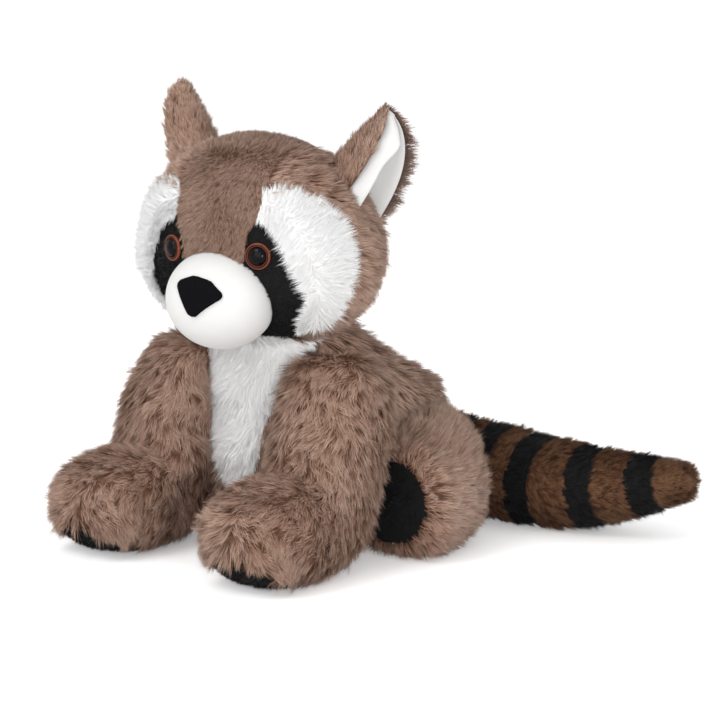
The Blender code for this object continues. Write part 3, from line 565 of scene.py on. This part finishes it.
for side, word in SIDES.items():
    def on_arm(p, side=side):
        """The arm outside the body, the head and its own pad, and off the table."""
        clear = ~in_body(p, -2) & ~in_head(p, -1) & ~in_paw_pad(p, side)
        return clear & (p[:, 2] > OFF_TABLE)

    def arm_comb(p, side=side):
        """Down the arm along its curve, turning at the toes to fan out from the paw."""
        path = ARM_PATHS[side]
        paw = np.array(path[3], float)
        t = np.linspace(0, 1, 30)
        near = np.linalg.norm(p[:, None] - spline(path, t), axis=-1).argmin(axis=1)
        ahead = unit(spline(path, np.minimum(t + 0.05, 1)) - spline(path, t - 0.05))[near]
        toes = np.clip((p[:, 1:2] - paw[1] + 6) / -20, 0, 1)
        fan = unit(p - paw + np.array((0, 12, 4)))
        return ahead * (1 - toes) + fan * toes + np.array((0, 0, -0.45))

    plush(f"arm_skin_{word}", "brown_plush", brown_pile, ARMS[side], on_arm, arm_comb,
          clumps=3200, hairs=15, length=hair_length(7.8), width=0.45, lean=(52, 85), spread=2.3,
          gather=0.42, wander=0.6, seed=21 + side, grid=(64, 64), sink=0.4, under=7.0)


# Pads and hind legs. Black plush with a short dense pile makes one round pad under each paw and
# one on the sole of each hind foot. A hind leg is a short thick tube of brown plush behind it.
# Root colours darker than the tips: partly the pile's own colour, partly painted shade deep in the pile.
black_pile = pile_finish("black_pile",
                         [(0.002, 0.002, 0.002), (0.005, 0.005, 0.006), (0.009, 0.009, 0.010)],
                         [(0.004, 0.004, 0.004), (0.009, 0.009, 0.010), (0.02, 0.02, 0.022)], 0.05)


def pad_comb(p):
    """Forward and a little down."""
    return np.array((0.0, -1.0, -0.2)) + 0 * p


for side, word in SIDES.items():
    def on_paw_pad(p, side=side):
        """The round pad under this side's paw."""
        return in_paw_pad(p, side)

    plush(f"paw_pad_{word}", "black_plush", black_pile, ARMS[side], on_paw_pad, pad_comb,
          clumps=400, hairs=8, length=hair_length(2.4), width=0.5, lean=(25, 60), spread=1.6,
          gather=0.2, wander=1.2, seed=31 + side, grid=(64, 64))

    foot = np.array(LEG_PATHS[side][2], float)

    def on_foot_pad(p, foot=foot):
        """The round pad on the sole: within 19.5 millimetres of the foot's middle, before it."""
        q = p - foot
        return (np.hypot(q[:, 0], q[:, 2]) < 19.5) & (q[:, 1] < 0)

    def on_leg(p, pad=on_foot_pad):
        """The hind leg outside the body, the arms and its own pad, and off the table."""
        return ~in_body(p, -2) & ~in_arms(p, -2) & ~pad(p) & (p[:, 2] > OFF_TABLE)

    def leg_comb(p, foot=foot):
        """Outward all round from the line through the foot's middle, and back."""
        q = (p - foot) * np.array((1.0, 0.0, 1.0))
        return unit(q) + np.array((0.0, 0.7, 0.0))

    plush(f"foot_pad_{word}", "black_plush", black_pile, LEGS[side], on_foot_pad, pad_comb,
          clumps=400, hairs=8, length=hair_length(2.4), width=0.5, lean=(20, 60), spread=1.6,
          gather=0.2, wander=1.2, seed=35 + side, grid=(64, 64))
    plush(f"leg_skin_{word}", "brown_plush", brown_pile, LEGS[side], on_leg, leg_comb,
          clumps=2200, hairs=13, length=hair_length(8.5), width=0.55, lean=(42, 82), spread=2.3,
          gather=0.5, wander=0.5, seed=41 + side, grid=(64, 48), sink=0.4, under=7.0)


# Bib. White plush let into the chest, from under the chin to between the front legs.
# Roots a little greyer than the tips: partly the pile's own colour, partly painted shade deep in the pile.
white_pile = pile_finish("white_pile", [(0.86, 0.85, 0.84), (0.93, 0.925, 0.92), (0.94, 0.94, 0.94)],
                         [(0.92, 0.915, 0.91), (0.955, 0.955, 0.955), (0.96, 0.96, 0.96)], 0.1)


def on_chest(p):
    """The bib between the arms."""
    return on_bib(p) & ~in_arms(p, -4)


plush("bib", "white_plush", white_pile, body_form, on_chest, body_comb,
      clumps=1900, hairs=12, length=hair_length(6.6), width=0.5, lean=(48, 82), spread=2.0,
      gather=0.32, wander=0.6, seed=51, grid=(128, 96))


# Head. A ball of filling under eight panels sewn edge to edge: a short-pile gusset from the nose
# over the crown, a white chin, and on each side a brown side, a white cheek and a black eye patch.
def head_form(u, v):
    """Ball from its crown at u = 0 to its chin at u = 1, shallower in front than behind and
    wider towards the jowls."""
    ring, height = np.sin(np.pi * u), np.cos(np.pi * u)
    angle = 2 * np.pi * v
    deep = ring * np.sin(angle)
    x = HEAD_HALF_WIDTH * (1 - JOWLS * height) * ring * np.cos(angle)
    y = deep * np.where(deep < 0, FACE_DEPTH, NAPE_DEPTH)
    return HEAD + np.stack([x, y, HEAD_HALF_HEIGHT * height], -1)


def within_outline(x, z, outline):
    """Whether points lie in a closed outline: a line to the side crosses its edges an odd
    number of times."""
    inside = np.zeros(len(x), bool)
    for (x0, z0), (x1, z1) in zip(outline, outline[1:] + outline[:1]):
        if z0 != z1:
            crosses = (z0 > z) != (z1 > z)
            inside ^= crosses & (x < (x1 - x0) * (z - z0) / (z1 - z0) + x0)
    return inside


GUSSET = [(-17, -0.10), (-6.8, -0.33), (6.8, -0.33), (17, -0.10), (19.5, 0.14), (23.5, 0.31), (23.5, 2),
          (-23.5, 2), (-23.5, 0.31), (-19.5, 0.14)]
PATCH = [(5.5, -0.29), (5.5, -0.61), (11.5, -0.90), (28.5, -0.90), (39.6, -0.69), (45.1, -0.53),
         (46, -0.37), (42.8, -0.18), (38.6, 0), (35.9, 0.12), (30.4, 0.22), (23.9, 0.29), (18.4, 0.16)]
CHEEK = [(29.4, -1.3), (29.4, -0.86), (34.5, -0.61), (35.9, -0.29), (27.6, 0.08), (20.7, 0.20),
         (18.4, 0.46), (28.5, 0.52), (38.6, 0.51), (46.9, 0.43), (55.2, 0.28), (82, 0.10), (82, -1.3)]
CHIN = [(-24, -0.77), (-26.4, -1.4), (26.4, -1.4), (24, -0.77)]


GUSSET_BACK = 100.0
CHEEK_BACK = -61.5


def in_panel(p, outline, side, back):
    """Whether points of the head lie in a panel's outline, seen from the front, and before a
    given y. The outline's x is in millimetres and its height in shares of the head's."""
    height = (p[:, 2] - HEAD[2]) / HEAD_HALF_HEIGHT
    return within_outline(p[:, 0] * side, height, outline) & (p[:, 1] < back)


def bare_head(p):
    """The head outside the body and the muzzle."""
    return ~in_body(p, -2) & ~in_muzzle(p, -1)


def on_gusset(p):
    """The gusset, from the muzzle over the crown to the nape."""
    return in_panel(p, GUSSET, LEFT, GUSSET_BACK) & bare_head(p)


def on_patch(p, side):
    """A side's eye patch, up to the gusset."""
    return in_panel(p, PATCH, side, HEAD[1]) & ~in_panel(p, GUSSET, LEFT, GUSSET_BACK) & bare_head(p)


def on_chin(p):
    """The chin panel, between the eye patches."""
    covered = in_panel(p, PATCH, LEFT, HEAD[1]) | in_panel(p, PATCH, RIGHT, HEAD[1])
    return in_panel(p, CHIN, LEFT, HEAD[1]) & ~covered & bare_head(p)


def on_cheek(p, side):
    """A side's cheek, up to the gusset, the chin and the eye patch."""
    middle = in_panel(p, GUSSET, LEFT, GUSSET_BACK) | in_panel(p, CHIN, LEFT, HEAD[1])
    return in_panel(p, CHEEK, side, CHEEK_BACK) & ~middle & ~on_patch(p, side) & bare_head(p)


def on_head_side(p, side):
    """A side's brown panel: what the other panels leave."""
    other = on_gusset(p) | on_chin(p) | on_cheek(p, side) | on_patch(p, side)
    return (p[:, 0] * side > 0) & ~other & bare_head(p)


def gusset_comb(p):
    """Forward and down over the brow, turning through the side to lie back over the crown."""
    q = p - HEAD
    over = np.clip((q[:, 2] / HEAD_HALF_HEIGHT - 0.78) / 0.16, 0, 1)
    aside = 0.018 * q[:, 0] + 1.6 * over * (1 - over)
    return np.stack([aside, -0.35 + 1.5 * over, -0.8 * (1 - over)], -1)


# Root colours darker than the tips: partly the pile's own colour, partly painted shade deep in the pile.
short_brown_pile = pile_finish("short_brown_pile",
                               [(0.12, 0.062, 0.042), (0.25, 0.145, 0.10), (0.36, 0.23, 0.17)],
                               [(0.19, 0.11, 0.078), (0.38, 0.24, 0.178), (0.60, 0.43, 0.345)], 0.05)
plush("head_gusset", "short_brown_plush", short_brown_pile, head_form, on_gusset, gusset_comb,
      clumps=8200, hairs=6, length=hair_length(3.4), width=0.40, lean=(45, 78), spread=1.0,
      gather=0.3, wander=0.5, seed=61, grid=(160, 96), turned=True)
plush("chin_panel", "white_plush", white_pile, head_form, on_chin, gusset_comb,
      clumps=260, hairs=9, length=hair_length(6.0), width=0.55, lean=(40, 75), spread=2.4,
      gather=0.4, wander=0.5, seed=62, grid=(160, 96), turned=True)

for side, word in SIDES.items():
    def patch_here(p, side=side):
        """This side's eye patch."""
        return on_patch(p, side)

    def cheek_here(p, side=side):
        """This side's cheek."""
        return on_cheek(p, side)

    def side_here(p, side=side):
        """This side's brown panel."""
        return on_head_side(p, side)

    def cheek_comb(p, side=side):
        """Away from the middle of the eye patch, and back towards it along the patch's rim."""
        q = p - np.array((23.0 * side, -80.0, 136.0))
        far = np.hypot(q[:, 0] / 24, q[:, 2] / 32)[:, None]
        way = unit(q * np.array((1.0, 0.0, 1.0)))
        return way * np.clip((far - 1.12) * 6, -0.8, 1) + np.array((0, 0.25, 0))

    def side_comb(p, side=side):
        """Back and down, a little outward, and steeper higher up."""
        q = p - HEAD
        return np.stack([0.4 * side + 0 * q[:, 0], 1.0 + 0 * q[:, 0], -0.7 - 0.004 * q[:, 2]], -1)

    plush(f"eye_patch_{word}", "black_plush", black_pile, head_form, patch_here, pad_comb,
          clumps=700, hairs=8, length=hair_length(1.8), width=0.42, lean=(25, 60), spread=1.3,
          gather=0.2, wander=1.0, seed=65 + side, grid=(160, 96), turned=True)
    plush(f"cheek_{word}", "white_plush", white_pile, head_form, cheek_here, cheek_comb,
          clumps=2200, hairs=12, length=hair_length(6.2), width=0.42, lean=(44, 72), spread=1.8,
          gather=0.34, wander=0.4, seed=71 + side, grid=(160, 96), turned=True)
    plush(f"head_side_{word}", "brown_plush", brown_pile, head_form, side_here, side_comb,
          clumps=2300, hairs=12, length=hair_length(7.5), width=0.55, lean=(52, 84), spread=1.9,
          gather=0.45, wander=0.45, seed=81 + side, grid=(160, 96), turned=True)


# Tail. Eleven bands of short plush, brown and black in turn, sewn end to end over one roll of
# filling, and lying on the table.
TAIL_PATH = [(-2, 58, 32), (50, 73, 23), (98, 77, 22), (156, 86, 31)]
BAND_SHARES = [25, 11, 9.5, 12.5, 13, 14, 18, 12.5, 17.5, 13, 16.6]
TAIL_RADII = [(0.0, 22.2, 22.2), (0.35, 23, 23), (0.62, 21.4, 21.4), (0.85, 14.3, 14.3), (0.985, 8.5, 8.5),
              (0.995, 6.5, 6.5), (1.0, 0, 0)]
tail_form = limb(TAIL_PATH, TAIL_RADII, 2.0)
samples = np.linspace(0, 1, 400)
steps = np.linalg.norm(np.diff(spline(TAIL_PATH, samples), axis=0), axis=-1)
run = np.concatenate([[0.0], np.cumsum(steps)])
bounds = np.interp(np.cumsum([0.0, *BAND_SHARES]) / sum(BAND_SHARES) * run[-1], run, samples)
# Root colours darker than the tips: partly the pile's own colour, partly painted shade deep in the pile.
tail_brown_pile = pile_finish("tail_brown_pile",
                              [(0.04, 0.015, 0.006), (0.10, 0.043, 0.02), (0.16, 0.078, 0.04)],
                              [(0.065, 0.028, 0.013), (0.16, 0.077, 0.038), (0.27, 0.15, 0.085)], 0.03)


def on_band(p):
    """The tail outside the body and the hind legs, and off the table."""
    return ~in_body(p, -2) & ~in_legs(p, -2) & (p[:, 2] > OFF_TABLE)


def tail_comb(p):
    """Along the tail towards its tip."""
    return np.array((1.0, 0.12, 0.1)) + 0 * p


for k, share in enumerate(BAND_SHARES):
    low, high = bounds[k], bounds[k + 1]

    def band_form(u, v, low=low, high=high):
        """The tail's tube between a band's two ends."""
        return tail_form(low + (high - low) * u, v)

    finish, slot = (black_pile, "black_plush") if k % 2 else (tail_brown_pile, "tail_brown_plush")
    plush(f"tail_band_{k + 1:02d}", slot, finish, band_form, on_band, tail_comb,
          clumps=int(30 * share), hairs=9, length=hair_length(5.0), width=0.5, lean=(42, 78),
          spread=1.6, gather=0.4, wander=0.5, seed=101 + k, grid=(64, 8), under=7.0)


# Muzzle and nose. The muzzle is smooth brushed cloth drawn tight over a ball of filling, and the
# nose is a flat piece of black felt sewn to it.
def muzzle_form(u, v):
    """Ball from its top at u = 0 to its underside at u = 1."""
    ring, height = np.sin(np.pi * u), np.cos(np.pi * u)
    angle = 2 * np.pi * v
    return MUZZLE + MUZZLE_HALF * np.stack([ring * np.cos(angle), ring * np.sin(angle), height], -1)


def smooth_cloth(name, colour, shade):
    """Brushed cloth: a faint mottle of colour, and a fine nap as bump."""
    made = Finish(name, 0.8, 0.25, 0.2)
    place = made.node("ShaderNodeTexCoord", {}, {}, 3)
    mottle = made.node("ShaderNodeTexNoise", {}, {"Vector": place, "Scale": 90.0, "Detail": 3.0})
    nap = made.node("ShaderNodeTexNoise", {}, {"Vector": place, "Scale": 2600.0, "Detail": 2.0})
    made.set("Base Color", made.mix(mottle, colour, shade))
    bump = made.node("ShaderNodeBump", {}, {"Height": nap, "Strength": 0.25, "Distance": 0.0003})
    made.set("Normal", bump)
    return made.material


def closed_grid(name, form, columns, rows, finish):
    """A piece of the head from a form's whole grid, with its seam and poles closed."""
    u, v = np.meshgrid(np.linspace(0, 1, rows + 1), np.arange(columns) / columns, indexing="ij")
    points = on_head(form(u.ravel(), v.ravel())).reshape(rows + 1, columns, 3)
    inner = points[1:-1].reshape(-1, 3)
    count = len(inner)
    points = np.concatenate([inner, points[:1, 0], points[-1:, 0]])
    i, j = np.meshgrid(np.arange(rows - 2), np.arange(columns), indexing="ij")
    n = (j + 1) % columns
    quads = np.stack([i * columns + j, (i + 1) * columns + j, (i + 1) * columns + n, i * columns + n], -1)
    j, n = np.arange(columns), (np.arange(columns) + 1) % columns
    top = np.stack([np.full(columns, count), j, n], -1)
    last = (rows - 2) * columns
    foot = np.stack([np.full(columns, count + 1), last + n, last + j], -1)
    mesh = bpy.data.meshes.new(name)
    faces = quads.reshape(-1, 4).tolist() + top.tolist() + foot.tolist()
    mesh.from_pydata(((points + TO_ROW) * 0.001).tolist(), [], faces)
    mesh.shade_smooth()
    mesh.materials.append(finish)
    piece = bpy.data.objects.new(name, mesh)
    bpy.context.scene.collection.objects.link(piece)
    return piece


def cloth_piece(node, form, columns, rows, finish):
    """A smooth piece of the head from its form, set in place of its solid."""
    made = closed_grid(node + "_cover", form, columns, rows, finish)
    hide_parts(node)
    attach(made, "root")
    return made


white_cloth = smooth_cloth("white_cloth", (0.635, 0.631, 0.622), (0.60, 0.595, 0.583))
cloth_piece("muzzle", muzzle_form, 96, 64, white_cloth)

NOSE_HALF_WIDTH, NOSE_HALF_HEIGHT = 12.6, 9.25
NOSE_SIDE = [(0.16, -0.94), (0.55, -0.34), (0.97, 0.24), (1, 0.40), (0.93, 0.56), (0.42, 0.96), (0.2, 1)]
NOSE_OUTLINE = [(0, -1), *NOSE_SIDE, *[(-x, z) for x, z in reversed(NOSE_SIDE)]]


def nose_form(u, v):
    """Flat piece of felt over the muzzle: from the middle of its top out to its outline, round
    its edge and back to the middle underneath. The outline is turned 11 degrees."""
    outline = np.array(NOSE_OUTLINE + NOSE_OUTLINE[:1]) * (NOSE_HALF_WIDTH, NOSE_HALF_HEIGHT)
    run = np.concatenate([[0.0], np.cumsum(np.linalg.norm(np.diff(outline, axis=0), axis=1))])
    reach = np.interp(u, (0, 0.7, 0.76, 0.82, 1), (0, 0.97, 1, 0.97, 0))
    rise = np.interp(u, (0, 0.6, 0.7, 0.76, 0.82, 1), (1.9, 1.8, 1.5, 0.8, 0.2, 0.2))
    x, z = (reach * np.interp(v % 1, run / run[-1], outline[:, k]) for k in (0, 1))
    tilt = np.radians(11)
    x, z = 3.0 + x * np.cos(tilt) + z * np.sin(tilt), 3.6 + z * np.cos(tilt) - x * np.sin(tilt)
    half = MUZZLE_HALF + rise[..., None]
    y = -half[..., 1] * np.sqrt(1 - (x / half[..., 0]) ** 2 - (z / half[..., 2]) ** 2)
    return MUZZLE + np.stack([x, y, z], -1)


felt = Finish("felt", 0.95, 0.0, 0.03)
felt_place = felt.node("ShaderNodeTexCoord", {}, {}, 3)
felt_nap = felt.node("ShaderNodeTexNoise", {}, {"Vector": felt_place, "Scale": 1800.0, "Detail": 2.0})
felt.set("Base Color", felt.mix(felt_nap, (0.002, 0.002, 0.003), (0.007, 0.007, 0.008)))
felt_bump = {"Height": felt_nap, "Strength": 0.3, "Distance": 0.0003}
felt.set("Normal", felt.node("ShaderNodeBump", {}, felt_bump))
cloth_piece("nose", nose_form, 120, 40, felt.material)


# Eyes. Two glossy plastic eyes, each a domed black pupil in a reddish brown ring that is darker
# between its two edges, held by a washer behind the black plush.
EYE_ASIDE, EYE_DROP, EYE_TURN = 25.0, 3.0, np.radians(16)


def eye_seat(side):
    """The spot an eye sits on, and its three directions: to its side, up and outward."""
    share = -EYE_DROP / HEAD_HALF_HEIGHT
    across = EYE_ASIDE / (HEAD_HALF_WIDTH * (1 - JOWLS * share))
    y = -FACE_DEPTH * np.sqrt(1 - across ** 2 - share ** 2)
    out = np.array((side * np.sin(EYE_TURN), -np.cos(EYE_TURN), 0.0))
    aside = np.array((-out[1], out[0], 0.0))
    spot = HEAD + (side * EYE_ASIDE, y, -EYE_DROP) + 0.3 * out
    return spot, aside, np.array((0.0, 0.0, 1.0)), out


def turned_form(side, radii, heights):
    """A form turned about an eye's outward direction, from radii and heights along u."""
    spot, aside, up, out = eye_seat(side)
    marks = np.linspace(0, 1, len(radii))

    def form(u, v):
        r, h = np.interp(u, marks, radii)[..., None], np.interp(u, marks, heights)[..., None]
        angle = 2 * np.pi * v[..., None]
        return spot + aside * r * np.cos(angle) + up * r * np.sin(angle) + out * h

    return form


def glossy(name, stops):
    """Polished plastic whose colour runs from the eye's middle outward."""
    made = Finish(name, 0.03, 0.0, 0.13)
    uv = made.node("ShaderNodeUVMap", {"uv_map": "ring"}, {})
    outward = made.node("ShaderNodeSeparateXYZ", {}, {"Vector": uv}, 0)
    made.set("Base Color", made.node("ShaderNodeValToRGB", {"stops": stops}, {"Fac": outward}))
    return made.material


def ring_map(piece, side):
    """Two UV maps, for the material and for the bake: the first number is the distance from the
    line through the eye's middle over 6.4 millimetres, and the second the direction round it."""
    spot = on_head(eye_seat(side)[0])
    mesh = piece.data
    place = np.empty(len(mesh.vertices) * 3, np.float32)
    mesh.vertices.foreach_get("co", place)
    q = place.reshape(-1, 3) * 1000 - TO_ROW - spot
    out = on_head(HEAD + eye_seat(side)[3]) - HEAD
    far = np.linalg.norm(q - (q @ out)[:, None] * out, axis=-1) / 6.4
    corner = np.empty(len(mesh.loops), np.int32)
    mesh.loops.foreach_get("vertex_index", corner)
    turn = np.arctan2(q[:, 2], q[:, 0])[corner] / 7 + 0.5
    for layer in ("ring", "OFBake"):
        made = mesh.uv_layers.new(name=layer)
        made.uv.foreach_set("vector", np.stack([far[corner], turn], -1).astype(np.float32).ravel())
    mesh.uv_layers["ring"].active_render = True


pupil_gloss = glossy("pupil_gloss", [(0.0, (0.001, 0.001, 0.001)), (0.62, (0.001, 0.001, 0.001)),
                                     (0.68, (0.015, 0.006, 0.004))])
iris_gloss = glossy("iris_gloss", [(0.70, (0.10, 0.026, 0.014)), (0.745, (0.13, 0.033, 0.018)),
                                   (0.78, (0.012, 0.005, 0.004)), (0.87, (0.02, 0.008, 0.006)),
                                   (0.90, (0.20, 0.048, 0.02)), (0.965, (0.17, 0.038, 0.016))])
for side, word in SIDES.items():
    bend = np.linspace(0, 0.46 * np.pi, 16)
    pupil = turned_form(side, [*(4.45 * np.sin(bend)), 4.4, 1.6, 1.6, 0.0],
                        [*(0.4 + 2.6 * np.cos(bend)), 0.0, 0.0, -9.0, -9.0])
    made = cloth_piece(f"eye_pupil_{word}", pupil, 48, 19, pupil_gloss)
    ring_map(made, side)
    iris = turned_form(side, [4.5, 4.55, 4.8, 5.3, 5.8, 6.1, 6.25, 6.25, 4.6],
                       [0.2, 1.2, 1.55, 1.45, 1.2, 0.95, 0.5, 0.0, 0.0])
    made = cloth_piece(f"eye_iris_{word}", iris, 64, 32, iris_gloss)
    ring_map(made, side)


# Ears. Each is a leaf of brown plush behind and smooth white cloth in front, folded lengthwise
# and sewn into the head, its fold towards the crown; the white cloth is turned over its front edge.
def ear_leaf(side, rise, angle, v):
    """Points of an ear's leaf at angles round its fold and shares v of its length, moved towards
    its opening by `rise`: an ellipse's arc that narrows to the tip."""
    root = HEAD + ((35.0, 9.5, 31.0) if side == LEFT else (33.0, 9.5, 31.0))
    axis = np.array((27.0, 10.0, 31.5 if side == LEFT else 38.5))
    up = axis / np.linalg.norm(axis)
    opens = flat_on(np.array((0.92, 0.30, 0.0)), up)
    across = np.cross(up, opens)
    narrowing = np.sqrt(np.maximum(1 - np.maximum(v, 0) ** 3, 0.035))
    width = 13.0 * narrowing - rise
    cup = 33.0 * narrowing * (1 - 0.3 * v) - rise
    out = cup * (1 - np.cos(angle)) + rise
    p = root + axis * v[..., None] + opens * out[..., None] + across * (width * np.sin(angle))[..., None]
    return p * (side, 1, 1)


def on_ear(p):
    """The ear outside the head."""
    return ~in_head(p, 0)


def ear_hair(p):
    """The hairs' length: longer near the ear's back edge and shorter towards its tip."""
    back, tip = np.clip((p[:, 1] + 34) / 10, 0, 1), np.clip((p[:, 2] - 196) / 14, 0, 1)
    return 5.6 + 2.0 * back - 2.6 * tip


for side, word in SIDES.items():
    def ear_back_form(u, v, side=side):
        """The brown leaf from its root at u = 0 to its tip, and across its fold along v."""
        turn = v if side == LEFT else 1 - v
        return ear_leaf(side, -2.0 + 0 * u, np.radians(-58 + 142 * turn), -0.15 + 1.15 * u)

    def ear_comb(p, side=side):
        """Towards the tip, and near the back edge outward and back."""
        back = np.clip((p[:, 1:2] + 34) / 10, 0, 1)
        return np.array((0.45 * side, 0.1, 1.0)) + back * np.array((0.35 * side, 0.7, -1.2))

    plush(f"ear_back_{word}", "brown_plush", brown_pile, ear_back_form, on_ear, ear_comb,
          clumps=1100, hairs=11, length=ear_hair, width=0.45, lean=(48, 80), spread=1.6,
          gather=0.36, wander=0.4, seed=91 + side, grid=(40, 40), fill=0, turned=True, closed=False)

    def lining_form(u, v, side=side):
        """The white cloth as a flat loop: out along its face, round its edge and back behind."""
        turn = v % 1 if side == LEFT else 1 - v % 1
        share = np.interp(turn, (0, 0.46, 0.5, 0.96, 1), (0, 1, 1, 0, 0))
        high = np.interp(turn, (0, 0.02, 0.44, 0.48, 0.5, 0.54, 0.92, 0.98, 1),
                         (1.1, 1.9, 1.9, 1.6, 1.1, 0.3, 0.3, 0.6, 1.1))
        along = -0.2 + 1.2 * np.sin(np.pi / 2 * u)
        lip = 72 + 24 * np.clip((along - 0.5) / 0.35, 0, 1) ** 2 if side == LEFT else 57
        return ear_leaf(side, high, np.radians(-lip + (lip + 84) * (1 - share)), along)

    cloth_piece(f"ear_lining_{word}", lining_form, 96, 48, white_cloth)
